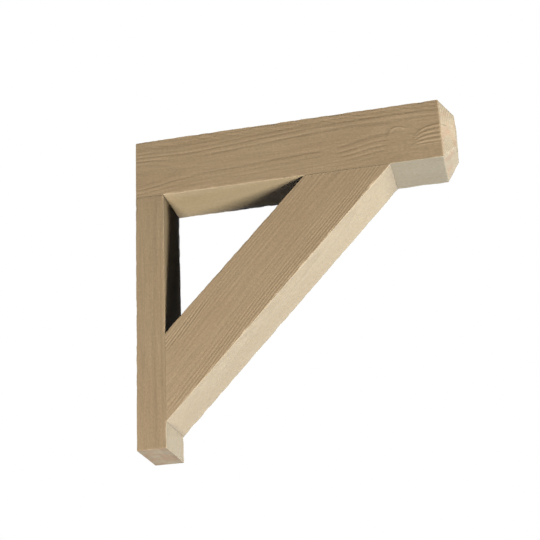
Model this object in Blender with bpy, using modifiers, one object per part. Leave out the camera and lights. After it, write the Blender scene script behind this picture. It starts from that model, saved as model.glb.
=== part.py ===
"""Raised-grain timber bracket: a top beam, a wall post under its inner end and a diagonal brace.

Metres, +Z up. The origin is at the centre of the wall face. +X points away from the wall, Y runs across
the timbers, whose front and back faces are all flush, and the bracket is the same on both sides of Y = 0.
"""

import math

import bmesh
import bpy
from mathutils import Matrix, Vector

# Whole bracket
TOTAL_HEIGHT = 0.762
TIMBER_DEPTH = 0.140

# Top beam: a square-cut wall end, a full section and a nose bevelled on all four sides
BEAM_LENGTH = 0.730
BEAM_HEIGHT = 0.148
NOSE_REACH = 0.032
NOSE_INSET = 0.030

# Wall post
POST_THICKNESS = 0.068

# Brace: where its outer edge lands on the beam and on the post, and how wide it is across that edge
BRACE_REACH = 0.609
BRACE_DROP = 0.702
BRACE_WIDTH = 0.145

# Arrises and joints
ARRIS_EASE = 0.0015
END_EASE = 0.001
EASE_SEGMENTS = 2
JOINT_GAP = 0.0003

# Places that follow from the sizes
TOP_Z = TOTAL_HEIGHT / 2
FOOT_Z = -TOTAL_HEIGHT / 2
BEAM_UNDERSIDE_Z = TOP_Z - BEAM_HEIGHT
HALF_DEPTH = TIMBER_DEPTH / 2
BRACE_LOW_POINT = Vector((POST_THICKNESS, 0, TOP_Z - BRACE_DROP))
BRACE_HIGH_POINT = Vector((BRACE_REACH, 0, BEAM_UNDERSIDE_Z))

# Timber colours: red, green, blue and roughness
BEAM_FINISH = (0.47, 0.35, 0.22, 0.72)
POST_FINISH = (0.45, 0.33, 0.21, 0.74)
BRACE_FINISH = (0.49, 0.37, 0.23, 0.72)


def clear_scene():
    for obj in list(bpy.data.objects):
        bpy.data.objects.remove(obj, do_unlink=True)


def new_collection(name, hidden=False):
    collection = bpy.data.collections.new(name)
    bpy.context.scene.collection.children.link(collection)
    collection.hide_render = hidden
    return collection


def timber_material(name, finish):
    red, green, blue, roughness = finish
    material = bpy.data.materials.new(name)
    material.use_nodes = True
    shader = material.node_tree.nodes["Principled BSDF"]
    shader.inputs["Base Color"].default_value = (red, green, blue, 1.0)
    shader.inputs["Roughness"].default_value = roughness
    shader.inputs["Metallic"].default_value = 0.0
    return material


def box_mesh(size):
    """A box of that size about its own centre, with its scale in the mesh."""
    mesh = bmesh.new()
    bmesh.ops.create_cube(mesh, size=1.0)
    bmesh.ops.scale(mesh, vec=size, verts=mesh.verts)
    return mesh


def add_object(name, mesh, collection, location, material=None):
    data = bpy.data.meshes.new(name)
    mesh.to_mesh(data)
    mesh.free()
    obj = bpy.data.objects.new(name, data)
    obj.location = location
    if material:
        data.materials.append(material)
    collection.objects.link(obj)
    return obj


def weigh_arrises(mesh, along, end_ratio=0.0):
    """Marks the long edges for the full easing, and the edges round the ends for that share of it."""
    weights = mesh.edges.layers.float.new("bevel_weight_edge")
    for edge in mesh.edges:
        run = (edge.verts[1].co - edge.verts[0].co).normalized()
        edge[weights] = 1.0 if abs(run.dot(along)) > 0.999 else end_ratio


def ease_arrises(obj):
    bevel = obj.modifiers.new("Eased arrises", "BEVEL")
    bevel.limit_method = "WEIGHT"
    bevel.width = ARRIS_EASE
    bevel.segments = EASE_SEGMENTS


def saw(obj, cutter, name):
    cut = obj.modifiers.new(name, "BOOLEAN")
    cut.operation = "DIFFERENCE"
    cut.object = cutter


def hide_cutter(cutter):
    cutter.hide_render = True
    cutter.display_type = "WIRE"


def build_beam(collection):
    mesh = box_mesh((BEAM_LENGTH, TIMBER_DEPTH, BEAM_HEIGHT))
    end = max(mesh.faces, key=lambda face: face.calc_center_median().x)
    nose = bmesh.ops.extrude_discrete_faces(mesh, faces=[end])["faces"][0]
    shrink = Vector((1, 1 - NOSE_INSET / HALF_DEPTH, 1 - 2 * NOSE_INSET / BEAM_HEIGHT))
    bmesh.ops.translate(mesh, vec=(NOSE_REACH, 0, 0), verts=nose.verts)
    bmesh.ops.scale(mesh, vec=shrink, verts=nose.verts)
    weigh_arrises(mesh, Vector((1, 0, 0)), END_EASE / ARRIS_EASE)
    middle = (BEAM_LENGTH / 2, 0, TOP_Z - BEAM_HEIGHT / 2)
    beam = add_object("top_beam", mesh, collection, middle, timber_material("Beam timber", BEAM_FINISH))
    ease_arrises(beam)


def build_post(collection):
    top = BEAM_UNDERSIDE_Z - JOINT_GAP
    mesh = box_mesh((POST_THICKNESS, TIMBER_DEPTH, top - FOOT_Z))
    weigh_arrises(mesh, Vector((0, 0, 1)), END_EASE / ARRIS_EASE)
    middle = (POST_THICKNESS / 2, 0, (top + FOOT_Z) / 2)
    post = add_object("wall_post", mesh, collection, middle, timber_material("Post timber", POST_FINISH))
    ease_arrises(post)


def build_brace(collection, cutters):
    """A straight timber laid along its outer edge, then sawn to the post's face and the beam's underside."""
    run = BRACE_HIGH_POINT - BRACE_LOW_POINT
    pitch = math.atan2(run.z, run.x)
    inward = Vector((-math.sin(pitch), 0, math.cos(pitch)))
    uncut_length = run.length + 2 * BRACE_WIDTH
    mesh = box_mesh((uncut_length, TIMBER_DEPTH, BRACE_WIDTH))
    weigh_arrises(mesh, Vector((1, 0, 0)))
    bmesh.ops.rotate(mesh, verts=mesh.verts, matrix=Matrix.Rotation(-pitch, 3, "Y"))
    middle = (BRACE_LOW_POINT + BRACE_HIGH_POINT) / 2 + inward * BRACE_WIDTH / 2
    brace = add_object(
        "diagonal_brace", mesh, collection, middle, timber_material("Brace timber", BRACE_FINISH)
    )
    ease_arrises(brace)

    span = 4 * uncut_length
    size = (span, 2 * TIMBER_DEPTH, span)
    at_post = (POST_THICKNESS + JOINT_GAP - span / 2, 0, 0)
    at_beam = (0, 0, BEAM_UNDERSIDE_Z - JOINT_GAP + span / 2)
    for name, place in (("saw_at_post", at_post), ("saw_at_beam", at_beam)):
        cutter = add_object(name, box_mesh(size), cutters, place)
        hide_cutter(cutter)
        saw(brace, cutter, name)


def main():
    clear_scene()
    bracket = new_collection("Timber bracket")
    cutters = new_collection("Cutters", hidden=True)
    build_beam(bracket)
    build_post(bracket)
    build_brace(bracket, cutters)


main()
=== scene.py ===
import math

import bpy
import numpy as np
from mathutils import Matrix, Vector


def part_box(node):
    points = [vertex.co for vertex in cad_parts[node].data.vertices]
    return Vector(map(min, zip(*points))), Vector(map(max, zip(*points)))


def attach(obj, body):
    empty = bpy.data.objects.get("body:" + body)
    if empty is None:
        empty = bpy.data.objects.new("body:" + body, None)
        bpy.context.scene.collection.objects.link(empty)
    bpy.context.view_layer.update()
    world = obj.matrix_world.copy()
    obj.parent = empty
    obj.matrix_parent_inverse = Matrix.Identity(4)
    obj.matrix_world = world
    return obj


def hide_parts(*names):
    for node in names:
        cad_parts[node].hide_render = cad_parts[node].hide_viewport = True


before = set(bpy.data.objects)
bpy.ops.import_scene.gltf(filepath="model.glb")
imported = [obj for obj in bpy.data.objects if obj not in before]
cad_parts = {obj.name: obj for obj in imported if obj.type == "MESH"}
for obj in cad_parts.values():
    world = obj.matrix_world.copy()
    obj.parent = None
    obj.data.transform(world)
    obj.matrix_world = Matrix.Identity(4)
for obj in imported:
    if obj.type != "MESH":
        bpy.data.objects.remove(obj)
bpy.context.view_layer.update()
print("frame loaded:", ", ".join(sorted(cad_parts)))


# Node sheets, for shaders and for Geometry Nodes alike

class Wire:  # a node's output; sums written on it add Math nodes
    def __init__(self, sheet, socket):
        self.sheet = sheet
        self.socket = socket

    def __add__(self, other):
        return self.sheet.math("ADD", self, other)

    def __sub__(self, other):
        return self.sheet.math("SUBTRACT", self, other)

    def __rsub__(self, other):
        return self.sheet.math("SUBTRACT", other, self)

    def __mul__(self, other):
        return self.sheet.math("MULTIPLY", self, other)

    def __truediv__(self, other):
        return self.sheet.math("DIVIDE", self, other)

    def __pow__(self, other):
        return self.sheet.math("POWER", self, other)

    __radd__ = __add__
    __rmul__ = __mul__


class NodeSheet:
    def __init__(self, tree):
        self.tree = tree

    def connect(self, value, socket):
        if isinstance(value, Wire):
            self.tree.links.new(value.socket, socket)
        else:
            socket.default_value = value

    # Adds one node: its settings first, then the values or wires of its sockets
    def add(self, kind, settings=None, sockets=None, output=0):
        node = self.tree.nodes.new(kind)
        for name, value in (settings or {}).items():
            setattr(node, name, value)
        for name, value in (sockets or {}).items():
            self.connect(value, node.inputs[name])
        return None if output is None else Wire(self, node.outputs[output])

    def math(self, operation, *values):
        return self.add("ShaderNodeMath", {"operation": operation}, dict(enumerate(values)))

    def vector(self, operation, *values):
        return self.add("ShaderNodeVectorMath", {"operation": operation}, dict(enumerate(values)))

    def length(self, vector):
        return self.add("ShaderNodeVectorMath", {"operation": "LENGTH"}, {0: vector}, output=1)

    # Every output of one node
    def outputs(self, kind, sockets=None):
        first = self.add(kind, None, sockets)
        return [Wire(self, socket) for socket in first.socket.node.outputs]

    def split(self, place):
        return self.outputs("ShaderNodeSeparateXYZ", {0: place})

    def join(self, *parts):
        return self.add("ShaderNodeCombineXYZ", None, dict(enumerate(parts)))

    # 0 below low, 1 above high, eased between; high may be the smaller one
    def rise(self, value, low, high):
        settings = {"interpolation_type": "SMOOTHSTEP"}
        return self.add("ShaderNodeMapRange", settings, {0: value, 1: low, 2: high, 3: 0.0, 4: 1.0})

    # Soft noise; stretch is how often it repeats in a metre, each way
    def noise(self, place, stretch, detail=1.0, shift=0.0):
        stretched = self.vector("MULTIPLY_ADD", place, stretch, (shift, shift, shift))
        sockets = {"Vector": stretched, "Scale": 1.0, "Detail": detail}
        return self.add("ShaderNodeTexNoise", None, sockets)

    # The way from an oval's middle, in parts of its reach
    def offset(self, place, middle, reach):
        return self.vector("DIVIDE", self.vector("SUBTRACT", place, middle), reach)

    # 1 in the middle of an oval patch, 0 outside it
    def patch(self, place, middle, reach, core=0.55):
        return self.rise(self.length(self.offset(place, middle, reach)), 1.0, core)

    def mix(self, share, first, second, blend="MIX"):
        settings = {"data_type": "RGBA", "blend_type": blend}
        return self.add("ShaderNodeMix", settings, {0: share, 6: first, 7: second}, output=2)


# The timbers. Each is laid out along its own length: along it, across its depth from front to back,
# and up its height. Lengths are in metres and angles in radians.

beamLow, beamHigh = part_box("top_beam")
postLow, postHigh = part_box("wall_post")
braceLow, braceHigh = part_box("diagonal_brace")
halfDepth = beamHigh.y
front = -halfDepth
beamLength = 0.730  # as far as its nose
braceWidth = 0.145

braceRun = Vector((braceHigh.x - braceLow.x, 0, braceHigh.z - braceLow.z))  # along its outer edge
bracePitch = math.atan2(braceRun.z, braceRun.x)
braceInward = Vector((-math.sin(bracePitch), 0, math.cos(bracePitch)))
closeGap = 0.00025  # how far the CAD's clearance at the post is closed; its seams hardly show
seamGap = 0.0004  # the brace stops this much short of the beam, which shows as a dark seam

beam = {
    "node": "top_beam",
    "slot": "beam_timber",
    "origin": Vector((beamLow.x, 0, (beamLow.z + beamHigh.z) / 2)),
    "pitch": 0.0,
    "halfHeight": (beamHigh.z - beamLow.z) / 2,
    "lowCut": (0.0, 0.0),  # where the timber starts at mid height, and how that changes with height
    "highCut": (beamLength, 0.0),
    "easedEnds": (True, False),
    "joined": [  # the stretches of its underside where the post and the brace meet it
        (-0.01, postHigh.x),
        (braceHigh.x - braceWidth / math.sin(bracePitch), braceHigh.x),
    ],
    "nose": {
        "reach": beamHigh.x - beamLength, "inset": 0.030, "rows": 12,
        "rounding": 0.0100,  # of the hips between its bevels, at the tip
        "lean": 0.0016,  # how far the foot of the tip is set back
    },
    "pith": {  # the line that the growth rings go round
        "depth": 0.040, "dip": 0.012, "dipReach": 0.075,
        "height": -0.003, "slope": 0.0, "swing": 0.0155, "turn": 0.250, "wave": beamLength,
    },
    "rings": {
        "first": 0.0475, "spacing": 0.0085,
        "boldest": 0.0520, "boldReach": 0.0115, "faintest": 0.10,
    },
    "patches": [  # where the rings stand out more or less: middle, reach and strength
        ((0.125, front, 0.010), (0.070, 0.05, 0.016), 0.15),
        ((0.215, front, -0.050), (0.150, 0.05, 0.024), 0.15),
        ((0.385, front, -0.044), (0.120, 0.05, 0.022), 0.22),
        ((0.468, front, -0.024), (0.026, 0.05, 0.040), 0.0),
        ((0.546, front, -0.031), (0.066, 0.05, 0.031), 0.70),
        ((0.640, front, -0.026), (0.044, 0.05, 0.052), 0.05),
        ((0.705, front, -0.024), (0.044, 0.05, 0.052), 0.0),
    ],
    "bends": [  # where a knot turns the rings aside: middle, reach and how far
        ((0.600, front, -0.022), (0.130, 0.05, 0.080), 0.010),
    ],
    "knot": {"middle": (0.631, front, -0.003), "reach": (0.0210, 0.05, 0.0200), "rim": 0.0038},
    "scallop": {  # arched ridges that spring from one point beside the nose
        "along": beamLength, "height": -0.038, "reach": 0.065, "roundness": 2.6, "flattest": 0.015,
        "step": 0.0118, "low": 0.004, "high": 0.052, "fade": 0.004,
        "ends": ((-1.04, -0.96), (0.01, -0.03)),  # in parts of its reach
        "skin": (front + 0.015, front + 0.005),  # it is on the front alone
    },
    "ridgeField": ((0.672, front, -0.018), (0.115, 0.05, 0.078)),
    "slant": {  # fibres that run out at a slope along the top
        "from": 0.046, "over": 0.010, "slope": 0.28,
        "stretch": (26.0, 210.0, 210.0), "strength": 3.6,
    },
    "depths": {  # how deep its grain is cut, and the share of that on its narrow faces
        "Groove depth": 0.0007, "Ridge height": 0.0009, "Hewn depth": 0.0012, "Narrow share": 0.30,
    },
    "endPith": (0.080, 0.010),  # the middle of the rings on its cut ends: depth and height
    "check": {  # a short drying crack
        "middle": (0.738, -0.0625, 0.0095), "reach": (0.014, 0.014, 0.0026), "shade": 0.24,
    },
    "chip": {"middle": (0.764, 0.045, -0.046), "reach": (0.020, 0.040, 0.036), "depth": 0.0008},
    "paintedCoolLight": {  # painted cool light: greyer and bluer on its underside towards the nose
        "from": 0.575, "over": 0.05, "above": (0.004, 0.001), "tint": (0.862, 0.933, 0.980, 1.0),
    },
    "tone": 0.965,
    "narrowPaintedLight": 0.06,  # painted light: how much paler its narrow faces are
    "seed": 3.0,
}

post = {
    "node": "wall_post",
    "slot": "post_timber",
    "origin": Vector(((postLow.x + postHigh.x) / 2, 0, postLow.z)),
    "pitch": math.pi / 2,
    "halfHeight": (postHigh.x - postLow.x) / 2,
    "lowCut": (0.0, 0.0),
    "highCut": (postHigh.z - postLow.z + closeGap, 0.0),
    "easedEnds": (True, False),
    "joined": [(braceLow.z - postLow.z, braceLow.z - postLow.z + braceWidth / math.cos(bracePitch))],
    "nose": None,
    "pith": {
        "depth": 0.085, "dip": 0.0, "dipReach": 0.1,
        "height": 0.020, "slope": -0.02, "swing": 0.006, "turn": 0.100, "wave": 0.500,
    },
    "rings": {
        "first": 0.0830, "spacing": 0.0062,
        "boldest": 0.0900, "boldReach": 0.0120, "faintest": 0.06,
    },
    "patches": [],
    "bends": [],
    "knot": None,
    "slant": None,
    "depths": {
        "Groove depth": 0.00018, "Ridge height": 0.0, "Hewn depth": 0.0012, "Narrow share": 0.30,
    },
    "endPith": (0.060, -0.050),
    "check": None,
    "chip": None,
    "paintedCoolLight": None,
    "tone": 0.905,
    "narrowPaintedLight": 0.09,
    "seed": 11.0,
}

brace = {
    "node": "diagonal_brace",
    "slot": "brace_timber",
    "origin": Vector((braceLow.x, 0, braceLow.z)) + braceInward * braceWidth / 2,
    "pitch": bracePitch,
    "halfHeight": braceWidth / 2,
    "lowCut": (
        braceWidth / 2 * math.tan(bracePitch) - closeGap / math.cos(bracePitch),
        math.tan(bracePitch),
    ),
    "highCut": (
        braceRun.length - seamGap / math.sin(bracePitch) - braceWidth / 2 / math.tan(bracePitch),
        -1 / math.tan(bracePitch),
    ),
    "easedEnds": (False, False),
    "joined": [],
    "nose": None,
    "pith": {
        "depth": 0.030, "dip": 0.0, "dipReach": 0.1,
        "height": -0.022, "slope": 0.062, "swing": 0.003, "turn": 0.200, "wave": 0.300,
    },
    "rings": {
        "first": 0.0700, "spacing": 0.0058,
        "boldest": 0.0780, "boldReach": 0.0150, "faintest": 0.22,
    },
    "patches": [
        ((0.085, front, 0.030), (0.050, 0.05, 0.060), 0.05),
        ((0.300, front, 0.068), (0.240, 0.05, 0.020), 0.25),
        ((0.190, front, 0.046), (0.090, 0.05, 0.012), 1.0),
        ((0.360, front, -0.060), (0.440, 0.05, 0.028), 0.65),
    ],
    "bends": [],
    "knot": None,
    "slant": None,
    "depths": {
        "Groove depth": 0.0007, "Ridge height": 0.0, "Hewn depth": 0.0, "Narrow share": 0.20,
    },
    "endPith": (0.080, 0.020),
    "check": None,
    "chip": None,
    "paintedCoolLight": None,
    "tone": 0.970,
    "narrowPaintedLight": -0.02,
    "seed": 23.0,
}


# The cage: a box of fine lines with eased arrises

cage = {
    "arris": 0.0012,
    "end": 0.0008,
    "heightStep": 0.00125,
    "depthStep": 0.0030,
    "alongStep": 0.0031,
    "joinFade": 0.002,  # how soon an arris sharpens, and stays unworn, where another timber is joined
    "sharpAngle": math.radians(50),  # edges bent more than this are shaded as edges
}


def linesAcross(half, step):
    ease = cage["arris"]
    between = np.linspace(ease - half, half - ease, round(2 * (half - ease) / step) + 1)
    edge = ease * np.array([0.0, 0.5])
    return np.concatenate([edge - half, between, half - edge[::-1]])


# Rounds a section's corners; the lower two stay sharp where another timber is joined there
def roundSection(depth, height, halfHeight, ease, sharp):
    nearDepth = np.clip(depth, ease - halfDepth, halfDepth - ease)
    nearHeight = np.clip(height, ease - halfHeight, halfHeight - ease)
    offDepth = depth - nearDepth
    offHeight = height - nearHeight
    reach = np.maximum(abs(offDepth), abs(offHeight))
    length = np.hypot(offDepth, offHeight)
    share = np.divide(reach, length, out=np.ones_like(length), where=length > 0)
    share = share + (1 - share) * sharp * (height < 0)
    return nearDepth + offDepth * share, nearHeight + offHeight * share


def sharpnessAt(timber, along):
    reaches = [min(along - start, end - along) for start, end in timber["joined"]]
    return float(np.clip(max(reaches, default=0) / cage["joinFade"], 0, 1))


# Sections along the timber: the share of its length, how far beyond it, and how far it is drawn in
def stationsAlong(timber):
    length = timber["highCut"][0] - timber["lowCut"][0]
    ease = cage["end"]
    shares = np.linspace(0, 1, round(length / cage["alongStep"]) + 1)
    stations = [(share, 0.0, 0.0) for share in shares]
    if timber["easedEnds"][0]:
        stations[:1] = [(0.0, 0.0, ease), (ease / length, 0.0, 0.0)]
    if timber["easedEnds"][1]:
        stations[-1:] = [(1 - ease / length, 0.0, 0.0), (1.0, 0.0, ease)]
    nose = timber["nose"]
    if nose:
        for share in np.linspace(0, 1, nose["rows"] + 1)[1:]:
            stations.append((1.0, share * nose["reach"], share * nose["inset"]))
        stations.append((1.0, nose["reach"], nose["inset"] + ease))
    return stations


# The points of one section; its edge is rounded more and more along the nose
def sectionPoints(timber, station, depth, height):
    share, beyond, inset = station
    halfHeight = timber["halfHeight"]
    lowCut, highCut = timber["lowCut"], timber["highCut"]
    ease = cage["arris"]
    if beyond:
        nose = timber["nose"]
        noseShare = beyond / nose["reach"]
        beyond = beyond - noseShare * nose["lean"] * (0.5 - height / (2 * halfHeight))
        ease = ease + math.sqrt(noseShare) * nose["rounding"]
    along = lowCut[0] + share * (highCut[0] - lowCut[0])
    depth, height = roundSection(depth, height, halfHeight, ease, sharpnessAt(timber, along))
    depth = depth * (1 - inset / halfDepth)
    height = height * (1 - inset / halfHeight)
    low = lowCut[0] + lowCut[1] * height
    high = highCut[0] + highCut[1] * height
    return np.stack([low + share * (high - low) + beyond, depth, height], axis=-1)


def timberCage(timber):
    depths = linesAcross(halfDepth, cage["depthStep"])
    heights = linesAcross(timber["halfHeight"], cage["heightStep"])
    depthCount, heightCount = len(depths), len(heights)

    # Round the section: underside, back, top, front
    rim = [(i, 0) for i in range(depthCount - 1)]
    rim += [(depthCount - 1, j) for j in range(heightCount - 1)]
    rim += [(i, heightCount - 1) for i in range(depthCount - 1, 0, -1)]
    rim += [(0, j) for j in range(heightCount - 1, 0, -1)]
    rimDepth = np.array([depths[i] for i, j in rim])
    rimHeight = np.array([heights[j] for i, j in rim])
    stations = stationsAlong(timber)
    points = [sectionPoints(timber, station, rimDepth, rimHeight) for station in stations]

    rimCount = len(rim)
    row = np.arange(rimCount)
    after = (row + 1) % rimCount
    faces = []
    for number in range(len(stations) - 1):
        here, there = number * rimCount, (number + 1) * rimCount
        faces.append(np.stack([here + row, here + after, there + after, there + row], axis=-1))

    # The two end grids share the rim's points
    total = len(stations) * rimCount
    for number, flip in ((0, True), (len(stations) - 1, False)):
        grid = np.zeros((depthCount, heightCount), int)
        for place, (i, j) in enumerate(rim):
            grid[i, j] = number * rimCount + place
        inner = np.meshgrid(depths[1:-1], heights[1:-1], indexing="ij")
        points.append(sectionPoints(timber, stations[number], inner[0].ravel(), inner[1].ravel()))
        innerCount = inner[0].size
        grid[1:-1, 1:-1] = (total + np.arange(innerCount)).reshape(inner[0].shape)
        total += innerCount
        corners = [grid[:-1, :-1], grid[1:, :-1], grid[1:, 1:], grid[:-1, 1:]]
        if flip:
            corners.reverse()
        faces.append(np.stack([corner.ravel() for corner in corners], axis=-1))

    mesh = bpy.data.meshes.new(timber["node"] + "_carved")
    mesh.from_pydata(np.concatenate(points).tolist(), [], np.concatenate(faces).tolist())
    mesh.validate()
    return mesh


# Growth rings and the grooves between them. A stretch is how often a noise repeats in a metre:
# along, across and up the timber.

growth = {
    "drifts": [  # how the rings wander: stretch, how far and seed
        ((2.5, 9.0, 9.0), 0.0050, 0.0),
        ((11.0, 60.0, 60.0), 0.0022, 5.0),
    ],
    "flatShare": 0.30,  # of each ring, before its groove begins
    "change": 0.40,  # how much one ring's groove differs from the next one's
    "changeAlong": 6.0,  # how often in a metre
    "changeAcross": 3.7,  # from one ring to the next
    "changeBand": (0.35, 0.65),  # a band is where a noise turns from none to all
    "fade": 0.45,  # how much each groove comes and goes
    "fadeStretch": (45.0, 160.0, 160.0),
    "fadeBand": (0.36, 0.60),
}


# The distance from the pith, and the same counted in rings
def growthRings(sheet, place, timber):
    pith = timber["pith"]
    rings = timber["rings"]
    along, depth, height = sheet.split(place)
    pithHeight = along * pith["slope"] + pith["height"]
    pithHeight += pith["swing"] * sheet.math("SINE", (along - pith["turn"]) * (math.pi / pith["wave"]))
    dip = sheet.math("EXPONENT", -1.0 * (along / pith["dipReach"]) ** 2.0)
    pithDepth = (pith["depth"] - halfDepth) - pith["dip"] * dip
    radius = sheet.math("SQRT", (depth - pithDepth) ** 2.0 + (height - pithHeight) ** 2.0)
    for stretch, reach, seed in growth["drifts"]:
        radius += reach * (sheet.noise(place, stretch, 1.0, timber["seed"] + seed) - 0.5)
    for middle, reach, shift in timber["bends"]:
        radius += shift * sheet.patch(place, middle, reach, 0.0)
    return radius, (radius - rings["first"]) / rings["spacing"]


# 1 in the middle of a groove worn between two rings, 0 on the flat
def ringGrooves(sheet, place, timber):
    rings = timber["rings"]
    along, depth, height = sheet.split(place)
    radius, ring = growthRings(sheet, place, timber)
    nearness = 2.0 * sheet.math("ABSOLUTE", sheet.math("FRACT", ring) - 0.5)
    groove = sheet.rise(nearness, growth["flatShare"], 1.0)

    fromBoldest = (radius - rings["boldest"]) / rings["boldReach"]
    boldness = sheet.math("EXPONENT", -1.0 * fromBoldest ** 2.0)
    ringAcross = sheet.math("ROUND", ring) * growth["changeAcross"]
    ringPlace = sheet.join(along * growth["changeAlong"], ringAcross, timber["seed"])
    change = sheet.rise(sheet.noise(ringPlace, (1.0, 1.0, 1.0)), *growth["changeBand"])
    fade = sheet.rise(sheet.noise(place, growth["fadeStretch"]), *growth["fadeBand"])
    boldness = boldness * (1.0 - growth["change"] * (1.0 - change))
    boldness = boldness * (1.0 - growth["fade"] * (1.0 - fade))
    strength = rings["faintest"] + (1.0 - rings["faintest"]) * boldness
    for middle, reach, share in timber["patches"]:
        strength = strength + sheet.patch(place, middle, reach) * (share - strength)
    return groove * strength


# The raised rim round a knot, on its upper side
def knotRim(sheet, place, knot):
    offset = sheet.offset(place, knot["middle"], knot["reach"])
    along, depth, height = sheet.split(offset)
    fromRim = sheet.math("ABSOLUTE", sheet.length(offset) - 1.0)
    band = sheet.rise(fromRim, knot["rim"] / knot["reach"][0], 0.0)
    return band * sheet.rise(height - 0.5 * along, 0.0, 0.6)


# Ridges at one level above another, under arches that all meet at their far end
def scallopRidges(sheet, place, scallop):
    along, depth, height = sheet.split(place)
    aside = (along - scallop["along"]) / scallop["reach"]
    roundness = scallop["roundness"]
    under = 1.0 - sheet.math("ABSOLUTE", aside) ** roundness
    arch = sheet.math("MAXIMUM", under, scallop["flattest"]) ** (1 / roundness)
    level = (height - scallop["height"]) / arch
    ridge = 0.5 + 0.5 * sheet.math("COSINE", level * (2 * math.pi / scallop["step"]))
    inside = sheet.rise(level, scallop["low"] - scallop["fade"], scallop["low"])
    inside = inside * sheet.rise(level, scallop["high"], scallop["high"] - scallop["fade"])
    for end in scallop["ends"]:
        inside = inside * sheet.rise(aside, *end)
    return ridge * inside * sheet.rise(depth, *scallop["skin"])


# The raised grain, as a Geometry Nodes tree that sinks the cage's faces

grainDepths = {
    "Fibre depth": 0.00042,
    "Wear depth": 0.0015,
    "End share": 0.25,
}

wear = {
    "fibreStretch": (14.0, 280.0, 280.0),
    "arrisReach": 0.005,  # how far in from a corner the wear begins
    "nibbleStretch": (40.0, 40.0, 40.0),
    "nibbleBand": (0.42, 0.75),
    "hewnStretch": (45.0, 45.0, 45.0),
}


# 1 on the timber's long corners, 0 away from them and where another timber is joined
def arrisMask(sheet, along, depth, height, timber):
    reach = wear["arrisReach"]
    fade = cage["joinFade"]
    halfHeight = timber["halfHeight"]
    nearDepth = sheet.rise(sheet.math("ABSOLUTE", depth), halfDepth - reach, halfDepth)
    nearHeight = sheet.rise(sheet.math("ABSOLUTE", height), halfHeight - reach, halfHeight)
    arris = nearDepth * nearHeight
    for start, end in timber["joined"]:
        beside = sheet.rise(along, start, start + fade) * sheet.rise(along, end, end - fade)
        arris = arris * (1.0 - beside * sheet.rise(height, 0.0, -0.01))
    return arris


def raisedGrainTree(timber):
    tree = bpy.data.node_groups.new("raisedGrain_" + timber["node"], "GeometryNodeTree")
    face = tree.interface
    face.new_socket("Geometry", in_out="INPUT", socket_type="NodeSocketGeometry")
    depthNames = list(timber["depths"]) + list(grainDepths)
    for name in depthNames:
        face.new_socket(name, in_out="INPUT", socket_type="NodeSocketFloat")
    face.new_socket("Finish", in_out="INPUT", socket_type="NodeSocketMaterial")
    face.new_socket("Geometry", in_out="OUTPUT", socket_type="NodeSocketGeometry")

    sheet = NodeSheet(tree)
    seed = timber["seed"]
    groupInputs = sheet.outputs("NodeGroupInput")
    shape = groupInputs[0]
    asked = dict(zip(depthNames + ["Finish"], groupInputs[1:]))
    place = sheet.add("GeometryNodeInputPosition")
    normal = sheet.add("GeometryNodeInputNormal")
    along, depth, height = sheet.split(place)
    facingAlong, facingDepth, facingHeight = sheet.split(normal)
    broad = facingDepth ** 2.0
    endGrain = sheet.math("ABSOLUTE", facingAlong)

    grooves = ringGrooves(sheet, place, timber)
    fibres = sheet.noise(place, wear["fibreStretch"], 2.0, seed)
    slant = timber["slant"]
    if slant:
        sloped = sheet.join(along, depth, height + slant["slope"] * along)
        slantFibres = slant["strength"] * sheet.noise(sloped, slant["stretch"], 2.0, seed + 8.0)
        onSlant = sheet.rise(height, slant["from"], slant["from"] + slant["over"])
        fibres = fibres + onSlant * (slantFibres - fibres)
    relief = grooves * asked["Groove depth"] + fibres * asked["Fibre depth"]
    if timber["knot"]:
        rim = knotRim(sheet, place, timber["knot"])
        ridges = sheet.math("MAXIMUM", rim, scallopRidges(sheet, place, timber["scallop"]))
        field = sheet.patch(place, *timber["ridgeField"])
        relief = relief + field * (1.0 - ridges) * asked["Ridge height"]
    share = broad + asked["Narrow share"] * facingHeight ** 2.0
    share = share + asked["End share"] * facingAlong ** 2.0

    arris = arrisMask(sheet, along, depth, height, timber)
    nibble = sheet.noise(place, wear["nibbleStretch"], 2.0, seed + 2.0)
    nibble = sheet.rise(nibble, *wear["nibbleBand"])
    hewn = sheet.noise(place, wear["hewnStretch"], 2.0, seed + 3.0) * endGrain
    sunk = share * relief + arris * nibble * asked["Wear depth"] + hewn * asked["Hewn depth"]
    chip = timber["chip"]
    if chip:
        sunk = sunk + chip["depth"] * sheet.patch(place, chip["middle"], chip["reach"])

    marks = {"endGrain": endGrain, "broad": broad, "arris": arris, "groove": grooves}
    settings = {"data_type": "FLOAT", "domain": "POINT"}
    for name, mark in marks.items():
        sockets = {"Geometry": shape, "Name": name, "Value": mark}
        shape = sheet.add("GeometryNodeStoreNamedAttribute", settings, sockets)
    sockets = {0: normal, "Scale": sunk * -1.0}
    inward = sheet.add("ShaderNodeVectorMath", {"operation": "SCALE"}, sockets)
    shape = sheet.add("GeometryNodeSetPosition", None, {"Geometry": shape, "Offset": inward})
    shape = sheet.add("GeometryNodeRealizeInstances", None, {"Geometry": shape})
    shape = sheet.add("GeometryNodeSetMaterial", None, {"Geometry": shape, "Material": asked["Finish"]})
    sheet.add("NodeGroupOutput", None, {0: shape}, output=None)
    return tree


# Timber finish: tan softwood, deeper on the broad faces by painted shade, and creamy on the cut ends

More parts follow.
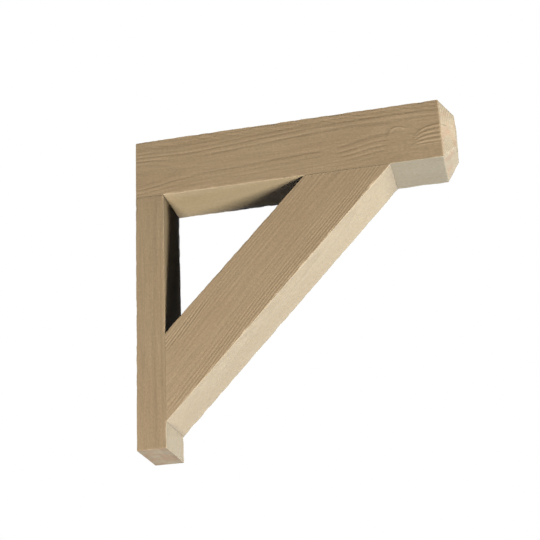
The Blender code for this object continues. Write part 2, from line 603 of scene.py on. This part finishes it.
timberLook = {
    "tan": (0.477, 0.377, 0.244, 1.0),
    "darkTan": (0.456, 0.354, 0.225, 1.0),
    "endCream": (0.470, 0.382, 0.256, 1.0),
    "endBlush": (0.466, 0.336, 0.220, 1.0),
    # painted shade on the broad faces
    "broadPaintedShade": (0.992, 0.925, 0.905, 1.0),
    "textures": {  # stretch, detail and seed
        "cloud": ((5.0, 16.0, 16.0), 2.0, 1.0),
        "fibre": ((30.0, 650.0, 650.0), 3.0, 4.0),
        "speckle": ((170.0, 300.0, 300.0), 1.0, 6.0),
        "blotch": ((30.0, 30.0, 30.0), 1.0, 7.0),
        "streak": ((14.0, 250.0, 250.0), 2.0, 9.0),
        "endStreak": ((60.0, 18.0, 110.0), 2.0, 10.0),
        "mottle": ((75.0, 110.0, 110.0), 2.0, 12.0),
    },
    "fibreShade": 0.16,
    "speckleShade": 0.38,
    "streakShade": 0.24,  # on the broad faces
    "mottleShade": 0.12,  # on the others
    # painted shade in the grooves between the rings
    "groovePaintedShade": 0.10,
    "lateWoodShade": 0.015,
    "broadLateWoodShade": 0.020,
    # painted highlight along the arrises
    "arrisPaintedHighlight": 0.03,
    "endRing": 0.0042,  # from one ring to the next on the cut ends
    "endRingBend": 1.2,
    "endRingBand": (0.005, 0.040),  # how far from mid height the rings begin to show
    "endRingShade": 0.36,
    "endStreakShade": 0.30,
    "hipReach": 0.007,  # of the painted shade on the hips between the nose's bevels
    "hipBand": (0.95, 0.80),
    "hipPaintedShade": 0.12,
    "endBand": (0.40, 0.65),
    "tanBand": (0.30, 0.70),
    "blushBand": (0.42, 0.62),
    "roughness": 0.62,
    "roughnessChange": 0.15,
    "specular": 0.4,
    "bumpHeight": 0.0003,
    "bumpFibre": 0.7,
    "bumpSpeckle": 0.3,
}


# What darkens the cut ends: their rings, sawn streaks, and painted shade on the hips of the nose
def endShade(sheet, place, timber, endGrain, texture):
    look = timberLook
    along, depth, height = sheet.split(place)
    pithDepth, pithHeight = timber["endPith"]
    radius = sheet.math("SQRT", (depth - pithDepth) ** 2.0 + (height - pithHeight) ** 2.0)
    ring = radius / look["endRing"] + look["endRingBend"] * texture["cloud"]
    across, up = sheet.math("ABSOLUTE", depth), sheet.math("ABSOLUTE", height)
    lines = sheet.math("FRACT", ring) ** 2.0 * sheet.rise(up, *look["endRingBand"])
    fromHip = sheet.math("ABSOLUTE", across - up - (halfDepth - timber["halfHeight"]))
    # painted shade along the hips between the nose's bevels
    hip = sheet.rise(fromHip, look["hipReach"], 0.0) * sheet.rise(endGrain, *look["hipBand"])
    shade = look["endRingShade"] * lines + look["hipPaintedShade"] * hip
    return shade + look["endStreakShade"] * (texture["endStreak"] - 0.5)


def timberFinish(timber):
    look = timberLook
    material = bpy.data.materials.new(timber["slot"])
    material.use_nodes = True
    sheet = NodeSheet(material.node_tree)
    shader = material.node_tree.nodes["Principled BSDF"]
    objectPlace = sheet.add("ShaderNodeTexCoord", output=3)
    sockets = {0: objectPlace, 1: tuple(timber["origin"]), 2: (0.0, -timber["pitch"], 0.0)}
    place = sheet.add("ShaderNodeMapping", {"vector_type": "TEXTURE"}, sockets)
    along, depth, height = sheet.split(place)
    endGrain, broad, arris, groove = [
        sheet.add("ShaderNodeAttribute", {"attribute_name": name}, output=2)
        for name in ("endGrain", "broad", "arris", "groove")
    ]
    texture = {
        name: sheet.noise(place, stretch, detail, timber["seed"] + seed)
        for name, (stretch, detail, seed) in look["textures"].items()
    }

    # A shade that goes up and down with a texture, where the mask says
    def vary(name, mask=1.0):
        return 1.0 + look[name + "Shade"] * mask * (texture[name] - 0.5)

    onEnd = sheet.rise(endGrain, *look["endBand"])
    narrow = (1.0 - broad) * (1.0 - onEnd)
    radius, ring = growthRings(sheet, place, timber)
    lateWood = sheet.math("FRACT", ring) ** 3.0
    # painted light on the narrow faces: paler by each timber's share, darker where the share is
    # negative, as on the brace
    shade = timber["tone"] * (1.0 + timber["narrowPaintedLight"] * narrow)
    shade = shade * (1.0 - (look["lateWoodShade"] + look["broadLateWoodShade"] * broad) * lateWood)
    shade = shade * vary("fibre") * vary("speckle")
    shade = shade * vary("mottle", 1.0 - broad) * vary("streak", broad)
    # painted shade: darker down in the grooves between the rings
    shade = shade * (1.0 - look["groovePaintedShade"] * groove)
    # painted highlight: the long arrises are paler, except on the cut ends
    shade = shade * (1.0 + look["arrisPaintedHighlight"] * arris * (1.0 - onEnd))
    shade = shade * (1.0 - onEnd * endShade(sheet, place, timber, endGrain, texture))
    check = timber["check"]
    if check:
        shade = shade * (1.0 - check["shade"] * sheet.patch(place, check["middle"], check["reach"]))

    blush = sheet.rise(texture["blotch"], *look["blushBand"])
    endColour = sheet.mix(blush, look["endCream"], look["endBlush"])
    colour = sheet.mix(sheet.rise(texture["cloud"], *look["tanBand"]), look["darkTan"], look["tan"])
    colour = sheet.mix(onEnd, colour, endColour)
    # painted shade: the broad faces are made darker and redder than the rest
    colour = sheet.mix(broad, colour, look["broadPaintedShade"], "MULTIPLY")
    # painted cool light: the underside towards the nose is tinted greyer and bluer
    paintedCoolLight = timber["paintedCoolLight"]
    if paintedCoolLight:
        under = sheet.rise(height + timber["halfHeight"], *paintedCoolLight["above"])
        outer = sheet.rise(along, paintedCoolLight["from"], paintedCoolLight["from"] + paintedCoolLight["over"])
        colour = sheet.mix(under * outer * narrow, colour, paintedCoolLight["tint"], "MULTIPLY")
    colour = sheet.mix(1.0, colour, sheet.join(shade, shade, shade), "MULTIPLY")
    sheet.connect(colour, shader.inputs["Base Color"])

    roughness = look["roughness"] + look["roughnessChange"] * (texture["fibre"] - 0.5)
    sheet.connect(roughness, shader.inputs["Roughness"])
    shader.inputs["Specular IOR Level"].default_value = look["specular"]
    fineGrain = texture["fibre"] * look["bumpFibre"] + texture["speckle"] * look["bumpSpeckle"]
    sockets = {"Strength": 1.0, "Distance": look["bumpHeight"], "Height": fineGrain}
    sheet.connect(sheet.add("ShaderNodeBump", None, sockets), shader.inputs["Normal"])
    return material


# Each timber: cage, raised grain and finish, then turned to its place in the mesh itself

def carveTimber(timber):
    piece = bpy.data.objects.new(timber["node"] + "_timber", timberCage(timber))
    bpy.context.scene.collection.objects.link(piece)
    tree = raisedGrainTree(timber)
    grain = piece.modifiers.new("Raised grain", "NODES")
    grain.node_group = tree
    values = {**grainDepths, **timber["depths"], "Finish": timberFinish(timber)}
    for item in tree.interface.items_tree:
        if item.in_out == "INPUT" and item.name in values:
            grain[item.identifier] = values[item.name]

    carved = piece.evaluated_get(bpy.context.evaluated_depsgraph_get())
    mesh = bpy.data.meshes.new_from_object(carved)
    piece.modifiers.remove(grain)
    mesh.transform(Matrix.Translation(timber["origin"]) @ Matrix.Rotation(-timber["pitch"], 4, "Y"))
    mesh.shade_smooth()
    mesh.set_sharp_from_angle(angle=cage["sharpAngle"])
    piece.data = mesh
    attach(piece, "root")
    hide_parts(timber["node"])
    triangles = sum(len(face.vertices) - 2 for face in mesh.polygons)
    print("carved", piece.name, "with", triangles, "triangles")


for timber in (beam, post, brace):
    carveTimber(timber)


# Floor, camera and light

stage = {
    "aim": (0.38, 0.0, 0.0),
    "floorHeight": -2.6,  # well out of the picture, because the bracket hangs on a wall
    "floorHalf": 0.65,
    "floorColour": (0.85, 0.85, 0.84, 1.0),
    "floorRoughness": 0.8,
    "cameraPlace": (0.8344, -2.6900, -1.1060),
    "cameraTurn": (112.65, 2.54, 12.25),  # degrees
    "sensor": 36.0,
    "lens": 85.42,
    "ambient": 0.002,
}

# Softboxes: where each one stands from the bracket, how far away, its width and height, watts and
# colour. Bounces are how often its light is passed on: hardly ever, so that the opening's shadow stays
# as dark as in the photo. The last three light only the top, the back and the wall side.
softboxes = {
    "warmSideLight": {
        "towards": (1.0, -0.15, 0.01), "away": 4.0, "width": 0.45, "height": 2.10,
        "power": 114.0, "colour": (1.0, 0.93, 0.78), "bounces": 1,
    },
    "coolSideLight": {
        "towards": (1.0, 0.02, 0.01), "away": 4.0, "width": 0.40, "height": 2.10,
        "power": 152.0, "colour": (0.80, 0.92, 1.0), "bounces": 1,
    },
    "lowLight": {
        "towards": (-0.07, -0.47, -0.875), "away": 5.5, "width": 0.95, "height": 1.40,
        "power": 324.0, "colour": (1.0, 0.97, 0.86), "bounces": 0,
    },
    "frontLight": {
        "towards": (-0.12, -1.0, -0.1), "away": 6.0, "width": 1.50, "height": 1.50,
        "power": 106.0, "colour": (1.0, 0.98, 0.94), "bounces": 0,
    },
    "underLight": {
        "towards": (0.60, 0.0, -0.86), "away": 5.0, "width": 1.70, "height": 1.70,
        "power": 84.0, "colour": (0.05, 0.25, 1.0), "bounces": 0,
    },
    "topLight": {
        "towards": (-0.04, 0.11, 0.99), "away": 4.0, "width": 0.90, "height": 0.90,
        "power": 98.0, "colour": (1.0, 0.98, 0.95), "bounces": 0,
    },
    "backLight": {
        "towards": (-0.13, 0.99, 0.12), "away": 4.0, "width": 0.90, "height": 0.90,
        "power": 86.0, "colour": (1.0, 0.98, 0.95), "bounces": 0,
    },
    "wallSideLight": {
        "towards": (-0.98, 0.15, 0.13), "away": 4.0, "width": 1.00, "height": 1.00,
        "power": 102.0, "colour": (1.0, 0.98, 0.95), "bounces": 0,
    },
}


def buildFloor():
    half = stage["floorHalf"]
    corners = [(-half, -half, 0), (half, -half, 0), (half, half, 0), (-half, half, 0)]
    mesh = bpy.data.meshes.new("floor")
    mesh.from_pydata(corners, [], [(0, 1, 2, 3)])
    floor = bpy.data.objects.new("floor", mesh)
    floor.location = (stage["aim"][0], stage["aim"][1], stage["floorHeight"])
    bpy.context.scene.collection.objects.link(floor)
    material = bpy.data.materials.new("paleFloor")
    material.use_nodes = True
    shader = material.node_tree.nodes["Principled BSDF"]
    shader.inputs["Base Color"].default_value = stage["floorColour"]
    shader.inputs["Roughness"].default_value = stage["floorRoughness"]
    mesh.materials.append(material)


def buildCamera():
    camera = bpy.data.objects.new("camera", bpy.data.cameras.new("camera"))
    bpy.context.scene.collection.objects.link(camera)
    camera.location = stage["cameraPlace"]
    camera.rotation_euler = [math.radians(turn) for turn in stage["cameraTurn"]]
    camera.data.sensor_width = stage["sensor"]
    camera.data.lens = stage["lens"]
    bpy.context.scene.camera = camera


def buildLights():
    aim = Vector(stage["aim"])
    for name, box in softboxes.items():
        data = bpy.data.lights.new(name, "AREA")
        data.shape = "RECTANGLE"
        data.size = box["width"]
        data.size_y = box["height"]
        data.energy = box["power"]
        data.color = box["colour"]
        data.cycles.max_bounces = box["bounces"]
        lamp = bpy.data.objects.new(name, data)
        bpy.context.scene.collection.objects.link(lamp)
        towards = Vector(box["towards"]).normalized()
        lamp.location = aim + towards * box["away"]
        lamp.rotation_euler = towards.to_track_quat("Z", "Y").to_euler()
        lamp.visible_camera = False


# White behind the bracket, and almost no light from all round
def buildWorld():
    world = bpy.data.worlds.new("studio")
    bpy.context.scene.world = world
    world.use_nodes = True
    sheet = NodeSheet(world.node_tree)
    seenByCamera = sheet.add("ShaderNodeLightPath")
    strength = seenByCamera * (1.0 - stage["ambient"]) + stage["ambient"]
    background = world.node_tree.nodes["Background"]
    background.inputs["Color"].default_value = (1.0, 1.0, 1.0, 1.0)
    sheet.connect(strength, background.inputs["Strength"])


buildFloor()
buildCamera()
buildLights()
buildWorld()
bpy.context.scene.view_settings.view_transform = "Standard"
print("floor, camera and lights are set")
